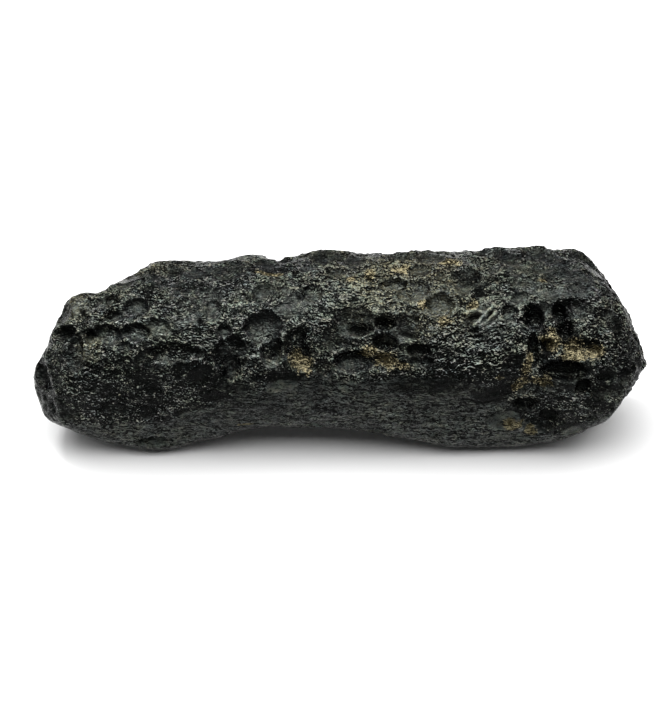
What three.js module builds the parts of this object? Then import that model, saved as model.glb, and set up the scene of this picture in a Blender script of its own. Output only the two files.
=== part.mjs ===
// An indochinite tektite: a slightly bent bar of black natural glass, as long as a hand is wide. It was
// thrown out molten, froze in flight, and lay in wet soil that etched it with dents and round, sharp-rimmed
// pits. The real thing is one piece, so it is one mesh.
//
// The surface is drawn outwards from a straight spine inside the stone. Every point of it has a place on a
// plain capsule round that spine: "along" is the distance over the capsule from its middle, in millimetres,
// and "around" is the angle about the spine in degrees, with 0 at the front, 90 on top, 180 at the back and
// 270 below. The glass reaches out from the spine as far as the smooth form of the bar, which is then cut
// by worn faces, swollen by lumps and bitten into by pits.
//
// Units are millimetres. +X runs along the bar, +Z is up, and the stone rests on z = 0.

import * as THREE from "three";
import { ImprovedNoise } from "three/addons/math/ImprovedNoise.js";

// Driving dimensions.
const SPINE_HALF = 33; // half the straight spine, from which the two rounded ends grow
const SPINE_MIDDLE = [0, -0.3, 14.3]; // set so that the origin is under the middle of the stone
const LEFT_END = 12.3; // how far the ends reach past the spine
const RIGHT_END = 12.4;
const CAPSULE_RADIUS = 14; // the plain capsule's radius, near the bar's own
const EDGE = 1.51; // the usual length of a triangle's side

// The bar's smooth form: how far it reaches up, down, forwards and backwards from the spine, at places
// along it. The two lobes are fuller, and the waist between them is bent back and clear of the ground.
const SECTION_PLACES = [-33, -26, -14, 0, 12, 24, 33];
const SECTION_REACHES = [
  ...[11.4, 13.6, 13.6, 12.0],
  ...[12.4, 14.7, 15.0, 12.8],
  ...[12.7, 11.9, 12.7, 13.5],
  ...[13.8, 11.5, 12.2, 13.9],
  ...[14.0, 13.5, 13.0, 14.1],
  ...[14.3, 14.8, 14.2, 14.5],
  ...[14.4, 13.5, 14.6, 13.6],
];
const SECTION_POWER = 2.25; // 2 is an ellipse, and more is squarer
const END_POWER = 2.3;

// Worn and broken faces: the way each one faces, and its distance from the middle of the spine.
const FACES = [
  { facing: [-0.45, 0.45, 0.77], distance: 23.7 }, // the long slope over the left end
  { facing: [-0.9, 0.22, 0.37], distance: 39.1 }, // the left tip, above
  { facing: [-0.3, -0.5, -0.81], distance: 23.9 }, // the left end, below
  { facing: [-0.86, -0.5, -0.1], distance: 41.4 }, // the broken face at the left tip
  { facing: [0.76, 0.33, 0.56], distance: 36.7 }, // the right end, above
  { facing: [0.93, 0.18, 0.3], distance: 41.5 },
  { facing: [0.74, -0.33, -0.58], distance: 36.0 }, // the right end, below
  { facing: [0.33, -0.47, -0.82], distance: 23.2 },
  { facing: [0, -0.94, -0.34], distance: 11.8 }, // the smooth hollow of the waist, in front and below
];
const FACE_SOFTNESS = 1.0; // how far a face's edge is rounded over

// Lumps that stand up from the form, and dents, which are lumps of less than nothing.
// Each is [along, around, length, width, height].
const LUMPS = [
  // the left end
  [-39, 80, 10, 11, 1.3], // a knob on top
  [-36.6, 112, 4.4, 28, -1.6], // the groove that sets it off
  [-46, 62, 14, 16, -0.4], // the slope below the knob is hollow
  [-50, 32, 8, 9, -0.4],
  [-46.5, 29, 4, 6, -0.5],
  [-44.4, -45, 7, 9, 0.5], // the heel
  [-40.6, -52, 7, 9, -0.4],
  // humps and hollows along the top
  [-26.6, 120, 6, 14, 0.4],
  [-21.5, 120, 8, 14, -0.3],
  [-12.5, 120, 8, 14, 0.5],
  [-8.6, 118, 7, 14, -0.8],
  [-6.3, 118, 4, 10, 0.2],
  [-2.5, 122, 9, 14, 0.4],
  [6.2, 120, 7, 12, -0.4],
  [12.2, 120, 7, 12, 0.4],
  [29.5, 120, 6, 10, 0.3],
  [33.5, 118, 6, 10, 0.3],
  // the right end
  [42.5, 85, 18, 22, -0.7], // it slopes away above
  [50, 60, 8, 10, -0.6],
  [48, 20, 8, 9, 0.9], // a knob at the tip
  [48.5, -50, 10, 15, -1.1], // and the hollow under it
  [47, 2, 6, 7, -0.6],
  [43.5, -20, 6, 9, -0.9],
  // the front, sunk where pits crowd together
  [31, 30, 20, 16, -0.8],
  [4, 34, 20, 13, -0.7],
  // underneath, where the glass draws back towards the waist
  [-21, -60, 10, 12, -0.5],
  [-12, -58, 18, 24, -0.95],
  [1, -58, 18, 22, -0.4],
  [23.5, -60, 18, 11, -0.7],
];

// The sharp-rimmed pits of the front. Each is [along, around, length, width, depth], and then a turn in
// degrees where its length isn't along the bar.
const PITS = [
  // the left end
  [-43.2, 69, 2.6, 2.2, 1.0],
  [-41, 42, 4.6, 2.6, 1.0],
  [-38.5, 27, 2.6, 6.6, 0.8],
  [-36.2, 38, 2.2, 2.6, 1.1],
  [-33.6, 39, 4.8, 3.4, 1.3, 172],
  [-29.2, 40, 4.0, 2.9, 1.1, 172],
  [-32.6, 53, 3.6, 2.3, 1.0],
  [-29.5, 57, 4.2, 4.4, 0.8, 145],
  [-33.2, 68, 2.2, 2.8, 0.9],
  [-23.8, 28, 8.2, 2.8, 0.8],
  // the middle
  [-16.6, 41, 2.4, 2.2, 0.9],
  [-18.3, 56, 2.5, 4.6, 0.7],
  [-10.9, 44, 5.8, 5.4, 1.1, 160],
  [-15.7, 25, 4.8, 7.2, 0.8],
  [-15.7, 19, 3.4, 5.0, 1.5],
  [-9.8, 29, 3.3, 5.0, 1.0],
  [-6, 26, 6.4, 3.6, 1.6, 117],
  [-6, 38, 2.7, 2.8, 1.6],
  [-11, 68, 3.5, 3.8, 0.7],
  [-3.9, 67, 3.0, 3.6, 0.8],
  [2.2, 47, 6.6, 4.6, 1.1],
  [3, 44, 4.1, 2.9, 1.9],
  [6.5, 47, 3.5, 2.5, 1.8],
  [6.5, 34, 3.8, 3.1, 1.7],
  [2.1, 21, 6.0, 3.7, 1.4],
  [6.3, 22, 3.4, 3.3, 1.1],
  [11.4, 29, 3.6, 2.2, 1.2],
  [11.7, 22, 3.6, 2.2, 0.9],
  [7.7, 73, 4.2, 2.4, 1.0],
  [14.3, 56, 4.6, 4.2, 0.6],
  [18.3, 76, 4.5, 5.0, 0.9],
  // the right lobe
  [24.6, 51, 2.4, 2.7, 0.7],
  [28, 49, 3.2, 3.9, 2.0],
  [31.7, 52, 2.3, 3.5, 1.9],
  [32.4, 41, 2.5, 3.1, 1.9],
  [34, 56, 3.0, 2.5, 1.0],
  [29.8, 32, 2.4, 2.3, 1.0],
  [34, 31, 3.9, 3.1, 1.4],
  [36.4, 30, 2.6, 2.7, 1.1],
  [27.9, 28, 1.8, 5.4, 1.1],
  [32.4, 16, 7.8, 3.7, 2.1],
  [29.5, 7, 3.8, 2.7, 0.9, 155],
  [26.6, 5, 3.0, 4.2, 0.9],
  [35.4, 5, 2.8, 3.0, 1.3],
  [38.5, 13, 2.9, 3.0, 0.9],
  [38, 0, 2.9, 3.4, 0.9],
  [41.4, 10, 2.6, 2.8, 0.8],
  [45, -9, 3.0, 2.6, 0.8],
  [42.8, -22, 3.0, 2.8, 0.8],
  [26.8, -13, 4.4, 3.2, 1.3],
  [24, -31, 5.2, 4.4, 1.3],
  [28.6, -36, 5.0, 4.2, 1.1],
  [30.4, -24, 2.9, 3.6, 1.0],
  // underneath
  [-27.5, -52, 5.0, 2.2, 0.7],
];

// The back, the top and the ends are strewn with more pits of every size, drawn from a seed.
const STREWN_SEED = 11;
const STREWN_TRIES = 240;
const STREWN_SIZES = [2.2, 6.4];
const PLACED_FRONT = { along: 45, from: -42, to: 104 }; // the pits above have this part to themselves
const SMOOTH_BELOW = { from: 215, to: 318 }; // the underside, which has few pits
const BELOW_SHARE = 0.3; // how many of the draws that fall there are kept
const RESTING = { places: [-25, 25], along: 11, from: 238, to: 302 }; // and none where the stone rests

// The grain of the whole surface, in two sizes: how broad the swells are, and how high.
const GRAIN = [
  { breadth: 9, height: 0.5 },
  { breadth: 4, height: 0.28 },
];

const toRadians = THREE.MathUtils.degToRad;

// A place on the capsule: the point of the spine that it grows from, the direction it grows in, and its
// spot on the capsule, where distances between places are measured.
function placeOn(along, aroundDegrees) {
  const around = toRadians(aroundDegrees);
  const spineX = THREE.MathUtils.clamp(along, -SPINE_HALF, SPINE_HALF);
  const lean = (along - spineX) / CAPSULE_RADIUS;
  const direction = new THREE.Vector3(
    Math.sin(lean),
    -Math.cos(lean) * Math.cos(around),
    Math.cos(lean) * Math.sin(around),
  );
  const root = new THREE.Vector3(spineX, 0, 0);
  const spot = root.clone().addScaledVector(direction, CAPSULE_RADIUS);
  return { around, lean, root, direction, spot };
}

const sections = new THREE.CubicInterpolant(SECTION_PLACES, SECTION_REACHES, 4);

function smoothForm({ around, lean, root }) {
  const [up, down, front, back] = sections.evaluate(root.x);
  const sideways = Math.cos(around) > 0 ? front : back;
  const upright = Math.sin(around) > 0 ? up : down;
  const section =
    (Math.abs(Math.cos(around) / sideways) ** SECTION_POWER +
      Math.abs(Math.sin(around) / upright) ** SECTION_POWER) **
    (-1 / SECTION_POWER);
  const end = lean > 0 ? RIGHT_END : LEFT_END;
  return (
    ((Math.cos(lean) / section) ** END_POWER + Math.abs(Math.sin(lean) / end) ** END_POWER) **
    (-1 / END_POWER)
  );
}

// The smaller of two reaches, rounded over where they meet.
function softLeast(a, b, softness) {
  const blend = THREE.MathUtils.clamp(0.5 + (b - a) / (2 * softness), 0, 1);
  return THREE.MathUtils.lerp(b, a, blend) - softness * blend * (1 - blend);
}

function cutByFaces(reach, { root, direction }) {
  for (const { facing, distance } of FACES) {
    const normal = new THREE.Vector3(...facing).normalize();
    const towards = direction.dot(normal);
    if (towards > 0.05) reach = softLeast(reach, (distance - root.dot(normal)) / towards, FACE_SOFTNESS);
  }
  return reach;
}

// An oval mark on the surface, such as a lump or a pit, with the directions of its length and width.
function markOn([along, around, length, width, depth, turn = 0]) {
  const { direction, spot } = placeOn(along, around);
  const alongBar = placeOn(along + 0.1, around).spot.sub(placeOn(along - 0.1, around).spot).normalize();
  const lengthways = alongBar.applyAxisAngle(direction, toRadians(turn));
  const widthways = direction.clone().cross(lengthways);
  return { direction, spot, lengthways, widthways, length, width, depth };
}

// How far a place is from the middle of a mark: 0 there, 1 on its outline and more outside.
function farFrom(mark, { direction, spot }) {
  if (direction.dot(mark.direction) < 0) return Infinity;
  const offset = spot.clone().sub(mark.spot);
  return Math.hypot(
    (2 * offset.dot(mark.lengthways)) / mark.length,
    (2 * offset.dot(mark.widthways)) / mark.width,
  );
}

function between(low, high) {
  return THREE.MathUtils.lerp(low, high, THREE.MathUtils.seededRandom());
}

function isWithin(value, low, high) {
  return value > low && value < high;
}

function staysClear(along, around) {
  const fromFront = around > 270 ? around - 360 : around;
  if (Math.abs(along) < PLACED_FRONT.along && isWithin(fromFront, PLACED_FRONT.from, PLACED_FRONT.to)) {
    return false;
  }
  const isResting = RESTING.places.some((place) => Math.abs(along - place) < RESTING.along);
  return !(isResting && isWithin(around, RESTING.from, RESTING.to));
}

function strewnPits() {
  const [smallest, largest] = STREWN_SIZES;
  const reach = SPINE_HALF + (CAPSULE_RADIUS * Math.PI) / 2;
  const found = [];
  THREE.MathUtils.seededRandom(STREWN_SEED);
  for (let n = 0; n < STREWN_TRIES; n++) {
    const along = between(-reach, reach);
    const around = between(0, 360);
    const size = THREE.MathUtils.lerp(smallest, largest, between(0, 1) ** 2);
    const length = size * between(1, 1.5);
    const depth = size * between(0.2, 0.34);
    const turn = between(0, 180);
    const isKept = between(0, 1) < (isWithin(around, SMOOTH_BELOW.from, SMOOTH_BELOW.to) ? BELOW_SHARE : 1);
    // The ends have less surface for each millimetre along them than the straight part has.
    const lean = Math.max(0, Math.abs(along) - SPINE_HALF) / CAPSULE_RADIUS;
    const isCrowded = between(0, 1) > Math.cos(lean);
    if (isKept && !isCrowded && staysClear(along, around)) {
      found.push([along, around, length, size, depth, turn]);
    }
  }
  return found;
}

const lumps = LUMPS.map(markOn);
const pits = [...PITS, ...strewnPits()].map(markOn);

function lumpsAt(place) {
  let height = 0;
  for (const lump of lumps) {
    const far = farFrom(lump, place);
    if (far < 1) height += lump.depth * (1 - far ** 2) ** 2;
  }
  return height;
}

// Pits that overlap leave a sharp crest between them, so the deepest one counts and they don't add up.
function pitsAt(place) {
  let depth = 0;
  for (const pit of pits) {
    const far = farFrom(pit, place);
    if (far < 1) depth = Math.max(depth, pit.depth * (1 - far ** 2));
  }
  return depth;
}

const noise = new ImprovedNoise();

function grainAt({ spot }) {
  let height = 0;
  for (const grain of GRAIN) {
    const { x, y, z } = spot.clone().divideScalar(grain.breadth);
    height += grain.height * noise.noise(x, y, z);
  }
  return height;
}

function surfacePoint(along, aroundDegrees) {
  const place = placeOn(along, aroundDegrees);
  const form = cutByFaces(smoothForm(place), place);
  const reach = form + lumpsAt(place) + grainAt(place) - pitsAt(place);
  const point = new THREE.Vector3(...SPINE_MIDDLE).add(place.root).addScaledVector(place.direction, reach);
  point.z = Math.max(point.z, 0);
  return point;
}

// Rings of vertices from the left pole to the right one, each with as many as keep the triangles even.
function ringsOfVertices() {
  const overTheCapsule = 2 * SPINE_HALF + Math.PI * CAPSULE_RADIUS;
  const ringCount = Math.round(overTheCapsule / (EDGE * Math.sin(Math.PI / 3)));
  const positions = [];
  const rings = [];
  for (let i = 0; i <= ringCount; i++) {
    const along = (i / ringCount - 0.5) * overTheCapsule;
    const ringRadius = CAPSULE_RADIUS * Math.cos(placeOn(along, 0).lean);
    const isPole = i === 0 || i === ringCount;
    const count = isPole ? 1 : Math.max(6, Math.round((2 * Math.PI * ringRadius) / EDGE));
    const shift = (i % 2) / 2;
    rings.push({ first: positions.length / 3, count, sides: isPole ? 0 : count, shift });
    for (let j = 0; j < count; j++) {
      positions.push(...surfacePoint(along, (360 * (j + shift)) / count).toArray());
    }
  }
  return { positions, rings };
}

// Triangles between two neighbouring rings, taking the next vertex from whichever ring is behind.
function stitch(ring, next, triangles) {
  const vertex = (of, n) => of.first + (n % of.count);
  let i = 0;
  let j = 0;
  while (i < ring.sides || j < next.sides) {
    const ringTurn = (i + 1 + ring.shift) / ring.count;
    const nextTurn = (j + 1 + next.shift) / next.count;
    if (j >= next.sides || (i < ring.sides && ringTurn < nextTurn)) {
      triangles.push(vertex(ring, i), vertex(next, j), vertex(ring, i + 1));
      i += 1;
    } else {
      triangles.push(vertex(ring, i), vertex(next, j), vertex(next, j + 1));
      j += 1;
    }
  }
}

function stoneGeometry() {
  const { positions, rings } = ringsOfVertices();
  const triangles = [];
  for (let i = 0; i + 1 < rings.length; i++) stitch(rings[i], rings[i + 1], triangles);
  const geometry = new THREE.BufferGeometry();
  geometry.setAttribute("position", new THREE.Float32BufferAttribute(positions, 3));
  geometry.setIndex(triangles);
  geometry.computeVertexNormals();
  return geometry;
}

const blackGlass = new THREE.MeshStandardMaterial({ color: 0x161817, roughness: 0.4, metalness: 0 });

const stone = new THREE.Mesh(stoneGeometry(), blackGlass);
stone.name = "tektite";

const object = new THREE.Group();
object.add(stone);

export default object;
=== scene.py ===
# %% [markdown]
# # A bar of black glass that fell from the sky
#
# An indochinite tektite is a splash of rock that a meteorite melted and threw hundreds of kilometres. It froze
# in flight as a bar of natural glass, and lay in wet soil that etched its skin with pits, scallops and flow
# lines. The lesson starts from the plain solid of the stone, which has its size, its form and its larger pits,
# and gives it the skin. The solid itself is never moved or changed: it is copied, and the copy takes its place.

# %% Load the solid
import math

import bpy
import numpy as np
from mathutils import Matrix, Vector, kdtree, noise


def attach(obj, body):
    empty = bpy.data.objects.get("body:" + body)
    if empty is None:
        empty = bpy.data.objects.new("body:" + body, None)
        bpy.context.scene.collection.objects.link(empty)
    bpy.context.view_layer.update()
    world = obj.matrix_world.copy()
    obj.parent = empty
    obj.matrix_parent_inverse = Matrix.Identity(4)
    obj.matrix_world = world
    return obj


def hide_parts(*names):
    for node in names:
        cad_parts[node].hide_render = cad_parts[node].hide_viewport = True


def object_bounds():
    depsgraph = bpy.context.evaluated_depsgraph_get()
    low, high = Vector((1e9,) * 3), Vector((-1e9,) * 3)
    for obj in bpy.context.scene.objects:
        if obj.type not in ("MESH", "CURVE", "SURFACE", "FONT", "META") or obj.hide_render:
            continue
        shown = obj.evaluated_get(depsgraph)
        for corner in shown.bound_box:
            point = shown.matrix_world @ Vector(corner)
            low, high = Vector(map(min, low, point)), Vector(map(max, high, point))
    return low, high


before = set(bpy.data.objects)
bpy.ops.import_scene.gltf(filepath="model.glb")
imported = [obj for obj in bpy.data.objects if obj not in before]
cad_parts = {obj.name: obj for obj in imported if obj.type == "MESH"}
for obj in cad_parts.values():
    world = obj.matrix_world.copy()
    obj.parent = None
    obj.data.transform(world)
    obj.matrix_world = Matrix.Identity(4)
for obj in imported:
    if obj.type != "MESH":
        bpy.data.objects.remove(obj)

MM = 0.001
cad_low, cad_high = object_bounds()
stone_size = cad_high - cad_low
stone_middle = (cad_high + cad_low) / 2
print("The solid is", [round(side / MM, 1) for side in stone_size], "mm")

# %% [markdown]
# ## The camera
#
# The stone is looked at from straight in front, a little from above, through a long lens, which keeps the two
# ends from looking smaller than the middle. A far camera with a long lens could be swapped for a near one with a
# short lens, but then the near lobe would swell. The lens follows from how much of the scene the picture takes in.

# %% Place the camera
CAMERA_ABOVE = math.radians(30)
CAMERA_FAR = 0.6
PICTURE_HEIGHT = 103.5 * MM
look_at = stone_middle + Vector((-1.05 * MM, 0, -0.6 * MM))

lens = bpy.data.cameras.new("camera")
lens.lens = lens.sensor_width * CAMERA_FAR / PICTURE_HEIGHT
lens.clip_start = 0.01
camera = bpy.data.objects.new("camera", lens)
bpy.context.scene.collection.objects.link(camera)
away = Vector((0, -math.cos(CAMERA_ABOVE), math.sin(CAMERA_ABOVE)))
camera.location = look_at + away * CAMERA_FAR
camera.rotation_euler = (-away).to_track_quat("-Z", "Y").to_euler()
bpy.context.scene.camera = camera
print("Lens of", round(lens.lens), "mm")

# %% [markdown]
# ## The white table and the soft light
#
# Black glass shows almost nothing but reflections: about 4% of whatever each facet faces. The white table lights
# the underside, one broad lamp overhead lights the top and the table, and the dim room in front leaves the face
# between them dark. A smaller lamp gives the glints. A flat world light alone would make the stone grey all over.

# %% Lay the table and hang the lamps
TABLE_HALF = 3.0

table_mesh = bpy.data.meshes.new("table")
sides = [(-1, -1), (1, -1), (1, 1), (-1, 1)]
corners = [(TABLE_HALF * x, TABLE_HALF * y, 0) for x, y in sides]
table_mesh.from_pydata(corners, [], [(0, 1, 2, 3)])
table = bpy.data.objects.new("table", table_mesh)
bpy.context.scene.collection.objects.link(table)
table_paint = bpy.data.materials.new("white_table")
table_paint.use_nodes = True
paint = table_paint.node_tree.nodes["Principled BSDF"]
paint.inputs["Base Color"].default_value = (0.9, 0.9, 0.9, 1)
paint.inputs["Roughness"].default_value = 0.9
paint.inputs["Specular IOR Level"].default_value = 0.0
table_mesh.materials.append(table_paint)


def hang_lamp(name, place, width, depth, watts, colour=(1, 1, 1)):
    """An oblong lamp that faces the stone."""
    data = bpy.data.lights.new(name, "AREA")
    data.shape = "RECTANGLE"
    data.size = width
    data.size_y = depth
    data.energy = watts
    data.color = colour
    lamp = bpy.data.objects.new(name, data)
    lamp.location = place
    lamp.rotation_euler = (stone_middle - lamp.location).to_track_quat("-Z", "Y").to_euler()
    bpy.context.scene.collection.objects.link(lamp)
    return lamp


hang_lamp("overhead", Vector((0.0, -0.2, 0.7)), 1.3, 1.0, 15.0)
hang_lamp("glint", Vector((-0.25, 0.1, 0.6)), 0.12, 0.12, 1.5)
hang_lamp("left", Vector((-0.6, -0.1, 0.2)), 0.5, 0.4, 0.2)
hang_lamp("right", Vector((0.6, -0.1, 0.2)), 0.5, 0.4, 0.2)

room = bpy.data.worlds.new("room")
bpy.context.scene.world = room
room.use_nodes = True
room.node_tree.nodes["Background"].inputs["Color"].default_value = (0.17, 0.17, 0.17, 1)
bpy.context.scene.view_settings.view_transform = "Standard"

# %% [markdown]
# ## Finding one's way on the stone
#
# The solid was drawn outwards from a straight spine, so every point of it has a place on a plain capsule round
# that spine: how far along the bar it is, in millimetres, and how far around, in degrees from the front over the
# top. The same places serve here for the pits and the colours. Working on arrays of points with numpy keeps the
# hundred thousand points of the fine skin quick.

# %% Places on the stone
UPWARDS = np.array([0, 0.35, 0.94])
SPINE_HALF = 33
SPINE_MIDDLE = np.array([0, -0.3, 14.3])
CAPSULE_RADIUS = 14


class Places:
    """Where points of the stone lie: their root on the spine, the direction out of it, and their capsule spot."""

    def __init__(self, points):
        offset = points - SPINE_MIDDLE
        self.root = np.zeros_like(offset)
        self.root[:, 0] = np.clip(offset[:, 0], -SPINE_HALF, SPINE_HALF)
        reach = offset - self.root
        self.direction = reach / np.linalg.norm(reach, axis=1, keepdims=True)
        self.spot = self.root + self.direction * CAPSULE_RADIUS
        self.lean = np.arcsin(np.clip(self.direction[:, 0], -1, 1))
        beyond = np.where(np.abs(offset[:, 0]) > SPINE_HALF, self.lean * CAPSULE_RADIUS, 0)
        self.along = self.root[:, 0] + beyond
        self.around = np.degrees(np.arctan2(self.direction[:, 2], -self.direction[:, 1]))


def place_on(along, around_degrees):
    """The direction and the capsule spot of one place."""
    around = math.radians(around_degrees)
    root = np.array([min(max(along, -SPINE_HALF), SPINE_HALF), 0, 0])
    lean = (along - root[0]) / CAPSULE_RADIUS
    direction = np.array(
        [math.sin(lean), -math.cos(lean) * math.cos(around), math.cos(lean) * math.sin(around)]
    )
    return direction, root + direction * CAPSULE_RADIUS


# %% [markdown]
# ## The pits
#
# These are the pits of the solid, once more: the ones on the front listed one by one, and the rest by the same seeded
# draw.
# Knowing them exactly allows a sculptor's trick. The coarse solid can only hint at a sharp rim, so its pits are
# first filled, then the stone is made fine, and then each pit is cut again with a sharp tool.

# %% List the pits
FRONT_PITS = [  # along, around, length, width, depth, turn
    # the left end
    [-43.2, 69, 2.6, 2.2, 1.0],
    [-41, 42, 4.6, 2.6, 1.0],
    [-38.5, 27, 2.6, 6.6, 0.8],
    [-36.2, 38, 2.2, 2.6, 1.1],
    [-33.6, 39, 4.8, 3.4, 1.3, 172],
    [-29.2, 40, 4.0, 2.9, 1.1, 172],
    [-32.6, 53, 3.6, 2.3, 1.0],
    [-29.5, 57, 4.2, 4.4, 0.8, 145],
    [-33.2, 68, 2.2, 2.8, 0.9],
    [-23.8, 28, 8.2, 2.8, 0.8],
    # the middle
    [-16.6, 41, 2.4, 2.2, 0.9],
    [-18.3, 56, 2.5, 4.6, 0.7],
    [-10.9, 44, 5.8, 5.4, 1.1, 160],
    [-15.7, 25, 4.8, 7.2, 0.8],
    [-15.7, 19, 3.4, 5.0, 1.5],
    [-9.8, 29, 3.3, 5.0, 1.0],
    [-6, 26, 6.4, 3.6, 1.6, 117],
    [-6, 38, 2.7, 2.8, 1.6],
    [-11, 68, 3.5, 3.8, 0.7],
    [-3.9, 67, 3.0, 3.6, 0.8],
    [2.2, 47, 6.6, 4.6, 1.1],
    [3, 44, 4.1, 2.9, 1.9],
    [6.5, 47, 3.5, 2.5, 1.8],
    [6.5, 34, 3.8, 3.1, 1.7],
    [2.1, 21, 6.0, 3.7, 1.4],
    [6.3, 22, 3.4, 3.3, 1.1],
    [11.4, 29, 3.6, 2.2, 1.2],
    [11.7, 22, 3.6, 2.2, 0.9],
    [7.7, 73, 4.2, 2.4, 1.0],
    [14.3, 56, 4.6, 4.2, 0.6],
    [18.3, 76, 4.5, 5.0, 0.9],
    # the right lobe
    [24.6, 51, 2.4, 2.7, 0.7],
    [28, 49, 3.2, 3.9, 2.0],
    [31.7, 52, 2.3, 3.5, 1.9],
    [32.4, 41, 2.5, 3.1, 1.9],
    [34, 56, 3.0, 2.5, 1.0],
    [29.8, 32, 2.4, 2.3, 1.0],
    [34, 31, 3.9, 3.1, 1.4],
    [36.4, 30, 2.6, 2.7, 1.1],
    [27.9, 28, 1.8, 5.4, 1.1],
    [32.4, 16, 7.8, 3.7, 2.1],
    [29.5, 7, 3.8, 2.7, 0.9, 155],
    [26.6, 5, 3.0, 4.2, 0.9],
    [35.4, 5, 2.8, 3.0, 1.3],
    [38.5, 13, 2.9, 3.0, 0.9],
    [38, 0, 2.9, 3.4, 0.9],
    [41.4, 10, 2.6, 2.8, 0.8],
    [45, -9, 3.0, 2.6, 0.8],
    [42.8, -22, 3.0, 2.8, 0.8],
    [26.8, -13, 4.4, 3.2, 1.3],
    [24, -31, 5.2, 4.4, 1.3],
    [28.6, -36, 5.0, 4.2, 1.1],
    [30.4, -24, 2.9, 3.6, 1.0],
    # underneath
    [-27.5, -52, 5.0, 2.2, 0.7],
]
STREWN_SEED = 11
STREWN_TRIES = 240
STREWN_SIZES = (2.2, 6.4)
PLACED_FRONT = {"along": 45, "from": -42, "to": 104}
SMOOTH_BELOW = (215, 318)
BELOW_SHARE = 0.3
RESTING = {"places": (-25, 25), "along": 11, "from": 238, "to": 302}


class Draw:
    """The solid's own stream of random numbers, the small generator called Mulberry32."""

    def __init__(self, seed):
        self.state = seed

    def next(self):
        self.state += 0x6D2B79F5
        mixed = self.state & 0xFFFFFFFF
        mixed = ((mixed ^ (mixed >> 15)) * (mixed | 1)) & 0xFFFFFFFF
        mixed ^= (mixed + (((mixed ^ (mixed >> 7)) * (mixed | 61)) & 0xFFFFFFFF)) & 0xFFFFFFFF
        return ((mixed ^ (mixed >> 14)) & 0xFFFFFFFF) / 4294967296

    def between(self, low, high):
        share = self.next()
        return (1 - share) * low + share * high


def stays_clear(along, around):
    from_front = around - 360 if around > 270 else around
    if abs(along) < PLACED_FRONT["along"] and PLACED_FRONT["from"] < from_front < PLACED_FRONT["to"]:
        return False
    is_resting = any(abs(along - place) < RESTING["along"] for place in RESTING["places"])
    return not (is_resting and RESTING["from"] < around < RESTING["to"])


def strewn_pits():
    reach = SPINE_HALF + CAPSULE_RADIUS * math.pi / 2
    draw = Draw(STREWN_SEED)
    draw.next()
    found = []
    for _ in range(STREWN_TRIES):
        along = draw.between(-reach, reach)
        around = draw.between(0, 360)
        share = draw.between(0, 1) ** 2
        size = (1 - share) * STREWN_SIZES[0] + share * STREWN_SIZES[1]
        length = size * draw.between(1, 1.5)
        depth = size * draw.between(0.2, 0.34)
        turn = draw.between(0, 180)
        is_kept = draw.between(0, 1) < (BELOW_SHARE if SMOOTH_BELOW[0] < around < SMOOTH_BELOW[1] else 1)
        lean = max(0, abs(along) - SPINE_HALF) / CAPSULE_RADIUS
        is_crowded = draw.between(0, 1) > math.cos(lean)
        if is_kept and not is_crowded and stays_clear(along, around):
            found.append([along, around, length, size, depth, turn])
    return found


all_pits = FRONT_PITS + strewn_pits()
print(len(FRONT_PITS), "pits placed by hand and", len(all_pits) - len(FRONT_PITS), "strewn")


# %% Measure how far places are from a pit
def mark_on(pit):
    """An oval mark on the capsule with the directions of its length and width, as the solid has it."""
    along, around, length, width, depth, turn = (list(pit) + [0])[:6]
    direction, spot = place_on(along, around)
    ahead = place_on(along + 0.1, around)[1] - place_on(along - 0.1, around)[1]
    ahead /= np.linalg.norm(ahead)
    swing = math.radians(turn)
    lengthways = (
        ahead * math.cos(swing)
        + np.cross(direction, ahead) * math.sin(swing)
        + direction * np.dot(direction, ahead) * (1 - math.cos(swing))
    )
    widthways = np.cross(direction, lengthways)
    return {
        "direction": direction, "spot": spot, "lengthways": lengthways, "widthways": widthways,
        "length": length, "width": width, "depth": depth,
    }


def far_from(mark, places):
    """0 in the middle of a mark, 1 on its outline, more outside."""
    offset = places.spot - mark["spot"]
    far = np.hypot(
        2 * offset @ mark["lengthways"] / mark["length"], 2 * offset @ mark["widthways"] / mark["width"]
    )
    return np.where(places.direction @ mark["direction"] < 0, np.inf, far)


# %% [markdown]
# ## From the coarse solid to a fine stone
#
# The copy's vertices are welded, each one is pushed out by the depth that the pits took from it, and two rounds
# of Catmull-Clark subdivision turn every triangle into twelve small four-sided faces on a smooth surface. A voxel
# remesh would also make it fine, but it would round the form off, and its faces wouldn't follow the stone.

# %% Copy the solid and fill its pits
def shallow_depth(places):
    """The depth of the solid's bowls, which never add up where they overlap."""
    depth = np.zeros(len(places.spot))
    for mark in map(mark_on, all_pits):
        far = far_from(mark, places)
        depth = np.maximum(depth, mark["depth"] * (1 - np.minimum(far, 1) ** 2))
    return depth


def points_of(mesh):
    points = np.empty(len(mesh.vertices) * 3)
    mesh.vertices.foreach_get("co", points)
    return points.reshape(-1, 3) / MM


def move_points(mesh, points):
    mesh.vertices.foreach_set("co", (points * MM).ravel())
    mesh.update()


stone = bpy.data.objects.new("etched_tektite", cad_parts["tektite"].data.copy())
bpy.context.scene.collection.objects.link(stone)
stone.data.materials.clear()
weld = stone.modifiers.new("weld", "WELD")
weld.merge_threshold = 0.001 * MM


def apply_modifiers(piece):
    """Keeps what the modifiers made as the piece's own mesh."""
    made = bpy.data.meshes.new_from_object(piece.evaluated_get(bpy.context.evaluated_depsgraph_get()))
    piece.modifiers.clear()
    piece.data = made


apply_modifiers(stone)
coarse_points = points_of(stone.data)
coarse = Places(coarse_points)
filled = coarse_points + coarse.direction * shallow_depth(coarse)[:, None]
move_points(stone.data, filled)
print(len(filled), "vertices after welding; deepest filling", round(shallow_depth(coarse).max(), 2), "mm")

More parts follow.
